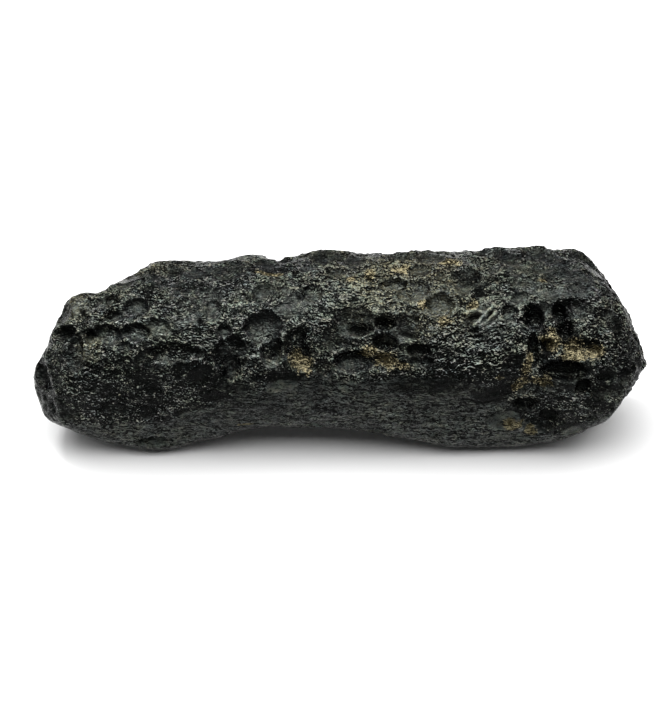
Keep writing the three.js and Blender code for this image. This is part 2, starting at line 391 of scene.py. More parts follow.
# %% Make it fine
smooth = stone.modifiers.new("fine", "SUBSURF")
smooth.levels = smooth.render_levels = 2
apply_modifiers(stone)
skin = points_of(stone.data)
places = Places(skin)
print(len(skin), "vertices in the fine stone")

# %% [markdown]
# ## Where the skin is rough and where it is calm
#
# The upper face is etched and crinkled all over. Below a wavering shoulder line the glass is calm: a satin band
# with small pores runs along the front and underneath. Such zones are masks, plain numbers from 0 to 1 for each
# point, which the carving reads first and the finish reads later. A zone could be painted by hand in Blender's
# weight paint, but soft ovals and a noise that frays their edges can be changed by a single number.

# %% Map the zones
SHOULDER = np.array([  # along the bar, and how far around the calm glass reaches up there
    [-44, -46], [-41, -38], [-35, -35], [-28, -32], [-24, -27], [-20, -19], [-16.5, -8], [-13, 2],
    [-6, 9], [5, 11], [16, 12], [20, 8], [23, -1], [25.5, -18], [27, -36], [30, -45], [35, -38], [41, -24],
])
BACK_SHOULDER = 212


def swells(points, breadth, octaves=1, seed=0):
    """Soft noise, about -1 to 1. breadth is a swell's size in mm, or its sizes along X, Y and Z."""
    scaled = points / breadth + 7.31 * seed
    return np.array([noise.fractal(point, 0.8, 2.0, octaves) for point in scaled.tolist()])


def ramp(values, start, end):
    """Eases from 0 at start to 1 at end."""
    share = np.clip((values - start) / (end - start), 0, 1)
    return share * share * (3 - 2 * share)


def patch(mark, fray=0):
    """A soft oval, 1 in its middle and 0 outside. A mark gives along, around, length, width and maybe turn."""
    far = far_from(mark_on([*mark[:4], 0, *mark[4:]]), places) + fray
    return 1 - ramp(far, 0.35, 1)


def patches(marks, fray):
    return np.max([patch(mark, fray) for mark in marks], axis=0)


def near_line(line, thickness):
    """1 on a line through some places and 0 beside it. A place gives along and around."""
    spots = [place_on(*place)[1] for place in line]
    nearest = np.full(len(skin), np.inf)
    for start, end in zip(spots, spots[1:]):
        run = end - start
        share = np.clip((places.spot - start) @ run / (run @ run), 0, 1)
        nearest = np.minimum(nearest, np.linalg.norm(places.spot - start - share[:, None] * run, axis=1))
    return np.exp(-((nearest / thickness) ** 2))


turned = (places.around + 90) % 360 - 90
wobble = 4 * swells(places.spot, 7, 2, seed=1)
shoulder = np.interp(places.along, *SHOULDER.T)
above_shoulder = ramp(turned + wobble, shoulder - 1.5, shoulder + 3)
rough = above_shoulder * (1 - ramp(turned + wobble, BACK_SHOULDER - 8, BACK_SHOULDER + 8))
calm = 1 - rough
streaky = patch([-29, 2, 34, 12], 0.05 * wobble)
wrinkled = patch([19, 30, 20, 13], 0.05 * wobble)
flowing = patches([[-23, 44, 22, 11], [-14, 4, 16, 4], [37, 66, 18, 12], [41, 40, 10, 12]], 0.05 * wobble)
print("Rough share of the skin:", round(float(rough.mean()), 2))

# %% [markdown]
# ## Cutting the pits again
#
# Etched pits have steep walls, flat bowls, a low lip and a rim that isn't quite round. The profile is therefore
# steeper than the solid's, and the distance that it reads is bent a little by noise. A boolean cut with small
# spheres would leave the same clean circle everywhere.

# %% Cut the pits
STEEPNESS = 4.2
LIP_HEIGHT = 0.15

bend = 0.14 * swells(places.spot, 1.7, 3, seed=2)
pit_depth = np.zeros(len(skin))
lip = np.zeros(len(skin))
from_rim = np.full(len(skin), 2.0)
side_of_pit = np.zeros(len(skin))
for mark in map(mark_on, all_pits):
    far = far_from(mark, places) * 0.97 + bend
    pit_depth = np.maximum(pit_depth, mark["depth"] * 1.05 * (1 - np.clip(far, 0, 1) ** STEEPNESS))
    lip = np.maximum(lip, LIP_HEIGHT * min(mark["depth"], 1) * np.exp(-(((far - 1.06) / 0.1) ** 2)))
    half_width = min(mark["length"], mark["width"]) / 2
    is_nearest = (far - 1) * half_width < from_rim
    from_rim = np.where(is_nearest, (far - 1) * half_width, from_rim)
    side_of_pit = np.where(is_nearest, (places.spot - mark["spot"]) @ UPWARDS / half_width, side_of_pit)
print("Deepest pit", round(pit_depth.max(), 2), "mm")

# %% [markdown]
# ## Dishes, pocks and pores
#
# Between the pits the etched glass is covered with shallow dishes a few millimetres wide and with smaller pocks.
# The calm glass has only fine pores, drawn out along the bar. Thousands of small bowls are quick to cut when each
# one looks up only the points near it, in a search tree, instead of measuring the whole stone.

# %% Strew the small bowls
DISHES = 420
POCKS = 2200
PORES = 3600

rng = np.random.default_rng(5)
point_tree = kdtree.KDTree(len(skin))
for number, point in enumerate(skin.tolist()):
    point_tree.insert(point, number)
point_tree.balance()


def strewn_depth(count, sizes, skew, depths, chance, stretch, has_rims=False):
    """Small bowls at random points. chance is each point's chance to keep the bowl that falls on it."""
    depth = np.zeros(len(skin))
    centres = rng.integers(0, len(skin), count)
    draws = rng.random((count, 5))
    for centre, draw in zip(centres.tolist(), draws.tolist()):
        if draw[0] > chance[centre]:
            continue
        width = sizes[0] + (sizes[1] - sizes[0]) * draw[1] ** skew
        length = width * (1 + (stretch - 1) * draw[2])
        swing = (draw[3] - 0.5) * 1.6
        up = places.direction[centre]
        ahead = np.cross([0, 1, 0] if abs(up[1]) < 0.8 else [0, 0, 1], up)
        ahead /= np.linalg.norm(ahead)
        side = np.cross(up, ahead)
        near = np.array([found[1] for found in point_tree.find_range(skin[centre], length / 2)])
        offset = skin[near] - skin[centre]
        lengthways = ahead * math.cos(swing) + side * math.sin(swing)
        widthways = side * math.cos(swing) - ahead * math.sin(swing)
        far = np.hypot(2 * offset @ lengthways / length, 2 * offset @ widthways / width)
        far = far + 0.8 * bend[near]
        bowl = width * (depths[0] + (depths[1] - depths[0]) * draw[4]) * (1 - np.clip(far, 0, 1) ** 3)
        depth[near] = np.maximum(depth[near], bowl)
        if has_rims:
            from_edge = (far - 1) * width / 2
            is_nearest = from_edge < from_rim[near]
            from_rim[near] = np.where(is_nearest, from_edge, from_rim[near])
            side_of_pit[near] = np.where(is_nearest, offset @ UPWARDS / (width / 2), side_of_pit[near])
    return depth


etched = rough * (1 - 0.75 * np.maximum(streaky, wrinkled)) * (pit_depth < 0.3)
dish_depth = strewn_depth(DISHES, (1.8, 4.4), 1.5, (0.1, 0.17), etched, 1.5, has_rims=True)
pock_chance = etched * (dish_depth < 0.1) + 0.03 * calm
pock_depth = strewn_depth(POCKS, (0.7, 1.6), 2, (0.16, 0.34), pock_chance, 1.7)
pore_depth = strewn_depth(PORES, (0.5, 0.9), 2, (0.12, 0.24), calm, 2.8)
print("Dishes and pocks cover", round(float((dish_depth + pock_depth > 0).mean()), 2), "of the skin")

# %% [markdown]
# ## Ridges and creases
#
# Some edges are longer than a pit: the thin flange down the left end, the crack round its knob, the rims that two
# pits share, and a fold where the melt closed over itself and stayed bright. Each one is a line through a few
# places of the stone, raised or cut with a rounded profile. The finish paints a highlight along the higher ridges,
# that bright fold among them, and shade along the creases.

# %% Raise the ridges and cut the creases
RIDGES = [  # height, thickness, and the places (along, around) that the line goes through
    # the left end
    [0.35, 0.5, [(-44.4, 26), (-43.8, 16), (-42.8, 5), (-41.5, -7), (-41.4, -28), (-40.4, -36)]],
    [0.2, 0.4, [(-40, -4), (-39, -7), (-39.3, -17)]],
    [0.25, 0.4, [(-42, 47), (-39.8, 46)]],
    [0.25, 0.4, [(-36, 71), (-35, 62), (-35, 51)]],
    # the middle
    [0.2, 0.35, [(-27.5, 31), (-26.2, 33), (-24.9, 34)]],
    [0.25, 0.35, [(-16.3, 31), (-14.7, 26), (-13.6, 21)]],
    [0.35, 0.4, [(-8.4, 41), (-7.6, 33), (-8.1, 27), (-6.5, 22), (-5, 16)]],
    [0.25, 0.35, [(4.8, 47), (5.8, 41), (6.5, 37)]],
    [0.2, 0.35, [(4.9, 18), (6.5, 17), (7.5, 18)]],
    # the fold
    [0.5, 0.3, [(17.8, 41), (19.2, 43), (20.4, 48), (21.9, 54)]],
    [0.45, 0.3, [(18.3, 51), (19.6, 53), (20.6, 51)]],
    [0.5, 0.3, [(22, 56), (22.6, 54), (22.3, 50), (21.4, 47), (20.2, 43)]],
    [0.4, 0.25, [(19.4, 39), (20.9, 41), (22.2, 45)]],
    # the right lobe
    [0.3, 0.35, [(27.1, 43), (28.2, 39), (28.8, 37)]],
    [0.3, 0.4, [(28.8, 31), (29.8, 26), (30.4, 25)]],
    [0.35, 0.4, [(32.5, 32), (33.3, 28), (34.8, 28), (35.9, 26), (37, 25)]],
    [0.3, 0.4, [(39.6, 16), (40.1, 8)]],
    [0.25, 0.4, [(38.5, 61), (40, 50), (42, 36)]],
]
CREASES = [
    # under and beside the knob of the left end
    [0.5, 0.6, [(-41.3, 45), (-39.7, 43), (-38.5, 44), (-37, 41)]],
    [0.4, 0.4, [(-38, 58), (-37.4, 53), (-37.5, 46)]],
    # the middle
    [0.3, 0.4, [(-23.6, 40), (-21.6, 42), (-20, 41)]],
    [0.3, 0.4, [(-27.9, 33), (-25.3, 35)]],
    [0.3, 0.4, [(-20, 47), (-19, 42), (-18, 39)]],
    [0.3, 0.4, [(-15, 43), (-13.7, 43)]],
    [0.3, 0.4, [(9.2, 40), (11, 37)]],
    # round the fold
    [0.5, 0.4, [(19, 48), (19.8, 49)]],
    [0.4, 0.3, [(20.9, 46), (21.8, 51)]],
    [0.3, 0.5, [(18, 58), (19.1, 59), (20.2, 67), (22, 74), (24, 78)]],
    [0.3, 0.4, [(18.3, 42), (20, 39)]],
    # the right lobe
    [0.4, 0.5, [(29.6, 40), (29.8, 32), (29.9, 25)]],
    # the calm glass
    [0.2, 0.3, [(18, -7), (20.9, -12), (23.2, -7)]],
    [0.3, 0.4, [(-29.7, -52), (-28.1, -53), (-25.7, -52)]],
]

ridge_lines = [near_line(line, thickness) for _, thickness, line in RIDGES]
crease_lines = [near_line(line, thickness) for _, thickness, line in CREASES]
ridge_height = sum(ridge[0] * profile for ridge, profile in zip(RIDGES, ridge_lines))
crease_depth = sum(crease[0] * profile for crease, profile in zip(CREASES, crease_lines))
print(len(RIDGES), "ridges and", len(CREASES), "creases")

# %% [markdown]
# ## Crinkles, flow lines and wrinkles
#
# The rest of the relief is drawn by noise: sharp crinkles where two slopes meet, wavy flow lines along the bar
# where the melt was drawn out, and tight wrinkles on the shoulder. The absolute value of a smooth noise has a
# crease wherever the noise passes through zero, which is just what a crinkle or a flow line needs.

# %% Draw the crinkles and the flow lines
bent = skin + 0.5 * np.stack([swells(skin, 2.2, 2, seed) for seed in (3, 4, 5)], axis=1)
crinkle = 2 * np.abs(swells(bent, np.array([2.2, 1.5, 1.5]), 2, seed=6)) - 0.5
flow = np.abs(swells(bent, np.array([5.0, 0.8, 0.8]), 2, seed=7))
wrinkle = 1 - np.abs(swells(bent, np.array([2.4, 0.9, 0.9]), 2, seed=8))
swell = swells(skin, 4.5, 2, seed=9)

SADDLE = [-8.9, 121, 5, 7]  # the dip in the top edge, which the pits behind it would cut too deep

outside_dishes = 1 - ramp(np.maximum(dish_depth, 0.25 * pit_depth), 0.05, 0.2)
height = 0.14 * rough * outside_dishes * crinkle
height += 0.3 * np.maximum(flowing, 0.5 * streaky) * rough * (0.3 - flow)
height += 0.34 * wrinkled * (wrinkle - 0.7)
height += 0.05 * calm * crinkle
height += 0.12 * rough * swell
height += lip + ridge_height - crease_depth
height += 0.4 * patch(SADDLE)
print("Relief from", round(height.min(), 2), "to", round(height.max(), 2), "mm")

# %% Carve the skin
shift = height - pit_depth - dish_depth - pock_depth - pore_depth
carved = skin + places.direction * shift[:, None]
carved[:, 2] = np.maximum(carved[:, 2], 0)
move_points(stone.data, carved)
stone.data.polygons.foreach_set("use_smooth", [True] * len(stone.data.polygons))
print("Carved from", round(shift.min(), 2), "to", round(shift.max(), 2), "mm")

# %% [markdown]
# ## What has settled on the glass, and the painted light
#
# The glass is black because it is thick and dark, so it needs no see-through shader: a nearly black base under a
# gloss. What makes the stone look grey is a pale film in the base colour, partly dust and partly painted light and
# shade: it is painted paler on faces tilted up and on bulges, as if lit from above, and darker in the creases and
# under the overhangs, as shade. Pale clay is left in some pits, an olive tint lies on the top, and some patches are
# darker, as glass without the film and as painted shade in the deeper pits. The painted light follows the carved
# form, so the form is measured here: how much a point's face is tilted up against the plain capsule, and how far it
# stands out from its neighbours.

# %% Measure tilt and bulge for the painted light and shade
normals = np.empty(len(skin) * 3)
stone.data.vertices.foreach_get("normal", normals)
normals = normals.reshape(-1, 3)
tilt = (normals - places.direction) @ UPWARDS

edges = np.empty(len(stone.data.edges) * 2, np.int64)
stone.data.edges.foreach_get("vertices", edges)
one_end, other_end = edges.reshape(-1, 2).T
neighbour_sum = np.zeros_like(carved)
neighbour_count = np.zeros(len(carved))
for here, there in ((one_end, other_end), (other_end, one_end)):
    np.add.at(neighbour_sum, here, carved[there])
    np.add.at(neighbour_count, here, 1)
bulge = ((carved - neighbour_sum / neighbour_count[:, None]) * normals).sum(axis=1)
print("Tilt", np.percentile(tilt, [5, 50, 95]).round(2), "bulge", np.percentile(bulge, [5, 50, 95]).round(3))

# %% Place the clay, the olive tint, and the darker patches of unfilmed glass and painted shade
CLAY_SPOTS = [  # along, around, length, width, turn
    [-5.6, 22, 7.4, 4.4, 117],
    [4, 28, 4.4, 3.4],
    [6.6, 22.5, 5.4, 4.4],
    [9.0, 19, 3.4, 2],
    [30.4, 34, 4.4, 5],
    [30.6, 38, 2.2, 3],
    [34, 31, 5.4, 4.4],
    [36.8, 29, 4, 3.8],
    [33.5, 25, 6.6, 2.2],
    [29.2, 8, 5, 3.8, 155],
    [26.6, 9, 2.8, 3.6],
    [27.4, 24, 2, 3.2],
    [26.8, 17, 2.2, 3.4],
    [25.6, 3, 3, 2.8],
    [23.2, 13, 2.2, 1.8],
    [25.5, -38, 4.4, 2.2],
    [28, -44, 3, 2.2],
    [1.6, 77, 2.6, 1.8],
    [4.4, 82, 2.0, 4.0],
    [8.8, 88, 4.4, 3.4],
    [16, 96, 5.0, 3.0],
    [12, 57, 2.2, 2.4],
    [15, 47, 3.0, 2.4],
    [19.2, 56, 2.6, 2.8],
    [29.3, 73, 2.0, 1.6],
    [-10.2, 90, 5.6, 3],
    [-13.5, -38, 4.6, 1.0],
]
OLIVE_PATCHES = [
    [9, 78, 26, 20],
    [15, 54, 14, 12],
    [-39, 70, 8, 12],
    [-36.5, 30, 5, 7],
    [26.8, -10, 6, 6],
    [-30, 120, 20, 16],
    [10, 150, 30, 16],
]
# Darker patches: glass without its film, and painted shade in the deeper pits.
BARE_AND_SHADED_PATCHES = [
    # the left end
    [-45.5, 42, 6, 4],
    [-41, 41, 4, 3],
    [-36.3, 39, 2.6, 2.2],
    [-33.7, 55, 3.6, 2],
    [-27, 68, 7, 4.2, -61],
    [-29, 0, 34, 15],
    # the middle
    [-23, 76, 3.6, 2.4],
    [-23.5, 28, 9, 2.6],
    [-15.4, 33, 3.4, 3],
    [-17.7, 26, 2, 3.6],
    [-14.5, 20, 2, 4],
    [-18.3, 11, 6, 4.4],
    [-9.4, 32, 2.8, 4.6],
    [-5.2, 37, 3.6, 2.8],
    [-8.5, 11, 15, 1.8],
    [3.4, 44, 4, 2.4],
    [6.5, 47, 2.8, 2.4],
    [6.5, 31, 5, 2.4],
    [1.6, 25, 4, 1.8],
    [11, 29, 6, 2.6],
    [13, 16, 10, 2.2],
    [13, 5, 16, 5],
    [22, -2, 8, 7],
    [18.6, 78, 4.8, 3.6],
    [20, 18, 20, 7],
    # the right lobe
    [28, 49.5, 4.4, 5.6],
    [32.2, 53, 3.6, 5],
    [32.6, 44, 3.6, 4.4],
    [33.6, 57, 5.4, 2.2, 30],
    [28.6, 28, 2.2, 6.4],
    [36.5, 35, 8, 2.8],
    [33, 15.5, 10, 5],
    [35.4, 5, 3.2, 4.4],
    [38, 10, 5, 3.2],
    [38, -10, 4.2, 3],
    [42.5, 34, 9, 14],
    [46, 12, 8, 9],
    [39.5, 103, 7, 16],
    [26.7, -12, 4.6, 4.4],
    [24.4, -25, 7, 3],
    [30, -31, 7, 5],
]
POLISHED_PATCHES = [
    [-46, -12, 13, 16],
    [20.3, 48, 7, 8],
    [32, 80, 26, 10],
    [-41, 62, 8, 9],
    [-38.3, 28, 4, 9],
    [-33.4, 38, 5, 3.2],
    [-29.1, 39.5, 4, 2.8],
    [-29.5, 57, 4.4, 5.6],
    [-23.5, 28, 9, 3],
    [-6.8, 58, 8, 5],
    [33, 14, 9, 5],
    [14, 62, 10, 8],
    [44, -12, 7, 10],
    [47, 30, 9, 18],
]
PALE_PATCHES = [
    # the left end
    [-38, 28, 3.8, 7],
    [-33.3, 37, 4.2, 2.2],
    [-29, 39, 3.4, 2],
    [-29.5, 57, 3.6, 4.8],
    [-38, 62, 5, 5],
    # the middle
    [-25.6, 99, 3.4, 5],
    [-18.3, 56, 3, 5.2],
    [-22.5, 50, 6, 2.4],
    [-26, 23, 4.6, 1.4],
    [-22, 20, 4.6, 1.4],
    [-19.3, 2, 2.8, 2.8],
    [-16.5, 40, 2, 1.8],
    [-16, 20, 1.8, 4.2],
    [-13.7, 31, 2.6, 2],
    [-10.5, 37, 3.4, 1.4],
    [-11.4, 70, 4, 3.2],
    [-6.8, 56, 6, 4.4],
    [-12.8, 9, 4.8, 2.4],
    [-9.4, 19, 3.4, 2],
    [-4.5, 90, 4, 2.2],
    [-3.5, 68, 3.2, 2.2],
    [0.5, 46, 3.2, 1.4],
    [2.6, 37, 2, 1.7],
    [6.9, 39, 2, 1.5],
    [1, 19, 5, 2.4],
    [11.8, 20, 4.6, 1.4],
    [21.3, 49, 4.4, 4, 42],
    # the right lobe
    [24.6, 51, 3.2, 2],
    [30.4, 63, 15, 3.6],
    [33.5, 56, 1.8, 2.4],
    [26.7, 2, 3.4, 4.2],
    [33, 6, 4.8, 2.6],
    [42.7, 28, 2.4, 4.4],
    [38.4, -27, 5.6, 4.4],
]

polished = patches(POLISHED_PATCHES, 0.3 * swells(places.spot, 2, 2, seed=16))
clay = patches(CLAY_SPOTS, 0.25 * swells(places.spot, 1.1, 2, seed=12))
olive = patches(OLIVE_PATCHES, 0.3 * swells(places.spot, 5, 2, seed=13))
bare_and_shaded = patches(BARE_AND_SHADED_PATCHES, 0.3 * swells(places.spot, 2, 3, seed=14))
pale = patches(PALE_PATCHES, 0.3 * swells(places.spot, 1.2, 2, seed=15))
print("Clay on", round(float((clay > 0.3).mean()), 3), "of the skin")


# %% Store the masks on the stone
def store(name, values):
    """Keeps one number for each point on the mesh, where the material can read it."""
    layer = stone.data.attributes.new(name, "FLOAT", "POINT")
    layer.data.foreach_set("value", np.asarray(values, np.float32))


store("rough", rough)
store("drawn_out", 0.9 * calm)
store("ridged", ramp(np.max([ridge[0] * profile for ridge, profile in zip(RIDGES, ridge_lines)], axis=0), 0.2, 0.5))
# Painted shade: the film is darker along the creases.
store("crease_shade", np.max(crease_lines, axis=0))
store("clay", clay)
store("olive", olive)
store("bare_and_shaded", bare_and_shaded)
store("pale", pale)
store("polished", polished)
store("from_rim", np.clip(from_rim, -2, 2))
store("side_of_pit", side_of_pit)
store("flowing", flowing)
store("wrinkled", wrinkled)
store("hollow", ramp(pit_depth + 0.8 * dish_depth + 0.8 * pock_depth, 0.15, 0.9))
# Painted light: faces tilted up are painted paler, bulges paler than dips, and the top paler than the underside.
store("upfacing_light", ramp(tilt, -0.35, 0.45))
store("bulge_shading", ramp(bulge, -0.03, 0.045))
store("topside_light", (places.direction[:, 2] + 1) / 2)
print(len(stone.data.attributes), "attributes on the stone")

# %% [markdown]
# ## Wiring the finish
#
# A material is a graph of nodes. Each helper below adds one kind of node, fills or links its inputs and hands back
# its output, so that the finish itself reads as plain sums.


# %% Wire a node in one line
def add_node(kind, inputs, **settings):
    """Adds a node, sets it, and links or fills its inputs. An input is a socket of another node or a value."""
    node = tree.nodes.new("ShaderNode" + kind)
    for name, value in settings.items():
        setattr(node, name, value)
    for name, value in inputs.items():
        if isinstance(value, bpy.types.NodeSocket):
            tree.links.new(value, node.inputs[name])
        else:
            node.inputs[name].default_value = value
    return node


def read_mask(name):
    return add_node("Attribute", {}, attribute_name=name).outputs["Fac"]


def maths(operation, first, second=0.0, third=0.0):
    return add_node("Math", {0: first, 1: second, 2: third}, operation=operation).outputs[0]


def vectors(operation, first, second, third=(0.0, 0.0, 0.0)):
    return add_node("VectorMath", {0: first, 1: second, 2: third}, operation=operation).outputs[0]


def spread(value, low, high, to_low=0.0, to_high=1.0):
    """Maps low-high to to_low-to_high, and keeps to that range."""
    ends = {"From Min": low, "From Max": high, "To Min": to_low, "To Max": to_high}
    return add_node("MapRange", {"Value": value, **ends}).outputs["Result"]


def blend(share, first, second):
    return add_node("Mix", {"Factor": share, 2: first, 3: second}, data_type="FLOAT").outputs[0]


def blend_colours(share, first, second):
    return add_node("Mix", {"Factor": share, 6: first, 7: second}, data_type="RGBA").outputs[2]


def noise_at(place, scale, detail=2.0, roughness=0.55):
    inputs = {"Vector": place, "Scale": scale, "Detail": detail, "Roughness": roughness}
    return add_node("TexNoise", inputs).outputs["Fac"]


def plates_at(place, scale, bevel):
    """Flat plates with bevelled edges: 0 in the seams between them, and the bevel's height on top."""
    cells = add_node("TexVoronoi", {"Vector": place, "Scale": scale}, feature="DISTANCE_TO_EDGE")
    return maths("MINIMUM", cells.outputs["Distance"], bevel)


def scallop_shading_at(place, scale):
    """Painted light and shade of small bowls lit from above, which meet in sharp edges: 1 along their upper rims, -1
    along their lower rims, 0 between.
    """
    bowls = add_node("TexVoronoi", {"Vector": place, "Scale": scale}, feature="F1")
    from_middle = vectors("SUBTRACT", place, bowls.outputs["Position"])
    rise = add_node("VectorMath", {0: from_middle, 1: tuple(UPWARDS * scale)}, operation="DOT_PRODUCT").outputs["Value"]
    return maths("SUBTRACT", spread(rise, 0.05, 0.4), spread(rise, -0.05, -0.4))


def plate_tones(place, scale):
    """A number of its own, 0 to 1, for each of those plates."""
    cells = add_node("TexVoronoi", {"Vector": place, "Scale": scale}, feature="F1")
    return add_node("SeparateColor", {"Color": cells.outputs["Color"]}).outputs["Red"]


def add_up(start, *terms):
    """Adds terms to a start. A term is a socket, the value of it that counts for nothing, and a weight."""
    total = start
    for socket, middle, weight in terms:
        total = maths("MULTIPLY_ADD", maths("SUBTRACT", socket, middle), weight, total)
    return total


# %% [markdown]
# ## The grain
#
# The mesh carries relief down to half a millimetre, and the finish adds what is finer: scales and crumbs on the
# rough skin, and long streaks where the glass was drawn out. The same grain is measured twice, at a place and a
# tenth of a millimetre above it. Where it falls off upwards the colour is painted paler, as light on a small face
# turned up, and where it rises it is painted darker, as the shade under a small overhang.

# %% Draw the grain
finish = bpy.data.materials.new("black_glass")
finish.use_nodes = True
tree = finish.node_tree
glass = tree.nodes["Principled BSDF"]
in_metres = add_node("TexCoord", {}).outputs["Object"]
in_mm = vectors("MULTIPLY", in_metres, (1000.0, 1000.0, 1000.0))


WRINKLE_RISE = math.radians(30)
FLOW_RISE = math.radians(17)
is_wrinkled = read_mask("wrinkled")
is_flowing = read_mask("flowing")


def bend_and_widen(place):
    """Places bent by a soft noise, and the same ones squeezed along the bar, so that plates come out wide."""
    drift = add_node("TexNoise", {"Vector": place, "Scale": 0.7, "Detail": 1.0}).outputs["Color"]
    bent = vectors("MULTIPLY_ADD", drift, (1.6, 1.2, 1.2), place)
    return bent, vectors("MULTIPLY", bent, (0.6, 1.0, 1.0))


def grain_at(place):
    """The height of the grain at a place, about 0 to 1: of the scales and of the streaks."""
    bent, wide = bend_and_widen(place)
    rippled = noise_at(vectors("MULTIPLY", bent, (0.35, 1.0, 1.0)), 1.1, 2.0, 0.6)
    ripples = maths("MINIMUM", maths("ABSOLUTE", maths("SUBTRACT", rippled, 0.5)), 0.08)
    scales = add_up(
        0.0,
        (plates_at(wide, 0.9, 0.2), 0.0, 0.6),
        (plates_at(wide, 2.3, 0.25), 0.0, 0.4),
        (noise_at(wide, 3.4, 2.0, 0.75), 0.0, 0.22),
        (ripples, 0.0, maths("MULTIPLY_ADD", is_flowing, 2.0, 0.8)),
    )
    rising = add_node("VectorRotate", {"Vector": bent, "Angle": WRINKLE_RISE}, rotation_type="Y_AXIS")
    wrinkles = noise_at(vectors("MULTIPLY", rising.outputs[0], (0.55, 1.0, 1.0)), 1.5, 2.0, 0.7)
    wrinkled_scales = blend(is_wrinkled, scales, maths("MULTIPLY", wrinkles, 2.0))
    streaks = noise_at(vectors("MULTIPLY", bent, (0.3, 1.0, 1.0)), 1.6, 3.0, 0.7)
    return wrinkled_scales, streaks


is_rough = read_mask("rough")
drawn_out = read_mask("drawn_out")
scales, streaks = grain_at(in_mm)
scales_above, streaks_above = grain_at(vectors("ADD", in_mm, (0.03, 0.03, 0.08)))
grain_height = maths(
    "MULTIPLY_ADD", maths("MULTIPLY", scales, 0.3), is_rough,
    maths("MULTIPLY", maths("MULTIPLY", streaks, 0.16), drawn_out),
)
bump = add_node("Bump", {"Height": grain_height, "Strength": 1.0, "Distance": MM})
tree.links.new(bump.outputs["Normal"], glass.inputs["Normal"])

# Painted light and shade of the grain: paler where it falls off upwards, darker where it rises.
scale_relief_shading = maths("SUBTRACT", scales, scales_above)
streak_relief_shading = maths("MULTIPLY", maths("MINIMUM", maths("SUBTRACT", streaks, streaks_above), 0.02), 2.0)
fine_relief_shading = blend(drawn_out, scale_relief_shading, streak_relief_shading)
print(len(tree.nodes), "nodes so far")

# %% [markdown]
# ## The film of dust, and the painted light and shade
#
# How pale the film is gets added up from its own tones and marks and from painted light and shade that follow what
# the form and the grain say, as a number from black (0) to pale (1), and each equal step of it multiplies the
# brightness by the same factor, which is how the eye counts steps.

# %% Lay the film of dust and the painted light and shade
hollow = read_mask("hollow")
tone = noise_at(in_mm, 0.2, 2.0, 0.6)
blotches = noise_at(in_mm, 0.9, 2.0, 0.6)
crumbs = noise_at(in_mm, 2.4, 2.0, 0.7)
specks = spread(noise_at(in_mm, 3.2, 1.5, 0.7), 0.42, 0.58)
fine_specks = noise_at(in_mm, 5.0, 1.0, 0.7)
wavy = add_node("TexNoise", {"Vector": in_mm, "Scale": 0.8, "Detail": 1.0}).outputs["Color"]
along_wavy = vectors("MULTIPLY", vectors("MULTIPLY_ADD", wavy, (1.6, 1.6, 1.6), in_mm), (0.55, 1.0, 1.0))
# Painted shade: thin wavy dark lines, as the shade in fine creases, in the colour only.
off_crease = maths("ABSOLUTE", maths("SUBTRACT", noise_at(along_wavy, 0.9, 2.0, 0.6), 0.5))
fine_crease_shade = spread(off_crease, 0.0, 0.04, 1.0, 0.0)
# Painted shade: random dark blotches on the rough skin stand in for the shade of small hollows.
hollow_shade_blotches = maths("MULTIPLY", spread(noise_at(in_mm, 0.6, 2.0, 0.65), 0.54, 0.66), is_rough)
is_bare_and_shaded = read_mask("bare_and_shaded")
is_olive = read_mask("olive")
is_pale = read_mask("pale")
wavy_places = vectors("MULTIPLY_ADD", wavy, (1.2, 1.2, 1.2), in_mm)
rising_places = add_node("VectorRotate", {"Vector": wavy_places, "Angle": FLOW_RISE}, rotation_type="Y_AXIS").outputs[0]
off_line = maths("ABSOLUTE", maths("SUBTRACT", noise_at(vectors("MULTIPLY", rising_places, (0.18, 1.0, 1.0)), 1.5, 1.0), 0.5))
flow_lines = spread(off_line, 0.0, 0.05, 1.0, 0.0)
dashes = spread(noise_at(vectors("MULTIPLY", rising_places, (0.3, 1.0, 1.0)), 2.6, 1.5, 0.7), 0.42, 0.58)
is_combed = maths("MAXIMUM", is_wrinkled, is_flowing)
uncombed = maths("MULTIPLY", is_rough, maths("MULTIPLY_ADD", is_combed, -0.6, 1.0))
# Painted glints: sparse random dots of light on the rough skin.
glints = spread(noise_at(in_mm, 2.6, 0.0), 0.68, 0.76)
# The grain's painted light and shade, sharpened, and painted glints (sparks) where it is palest.
crisp_relief_shading = maths("MULTIPLY", fine_relief_shading, 8.0)
sparks = spread(crisp_relief_shading, 0.45, 1.0, 0.0, 0.55)
# Painted shade in the pits: darker under the upper rim, on the upper side and along the upper rim; rim_light is a
# painted highlight along every rim.
ragged_rim = add_up(read_mask("from_rim"), (noise_at(in_mm, 1.8, 2.0, 0.7), 0.5, 0.9))
side_of_pit = read_mask("side_of_pit")
inside_pit = spread(ragged_rim, -0.06, 0.06, 1.0, 0.0)
shade_under_rim = maths("MULTIPLY", spread(side_of_pit, 0.0, 0.6), spread(ragged_rim, -0.6, -0.1))
shade_on_upper_rim = maths("MULTIPLY", spread(side_of_pit, -0.1, 0.5), spread(maths("ABSOLUTE", ragged_rim), 0.0, 0.14, 1.0, 0.0))
pit_shade = add_up(0.0, (shade_under_rim, 0.0, -0.25), (side_of_pit, 0.0, -0.1), (shade_on_upper_rim, 0.0, -0.4))
pit_shade = maths("MULTIPLY", inside_pit, pit_shade)
wide = bend_and_widen(in_mm)[1]
seams = spread(plates_at(wide, 0.9, 0.2), 0.0, 0.1, 1.0, 0.0)
fine_seams = spread(plates_at(wide, 2.3, 0.25), 0.0, 0.15, 1.0, 0.0)
rim_light = maths("MULTIPLY", spread(maths("ABSOLUTE", ragged_rim), 0.0, 0.12, 1.0, 0.0), spread(crumbs, 0.45, 0.65))
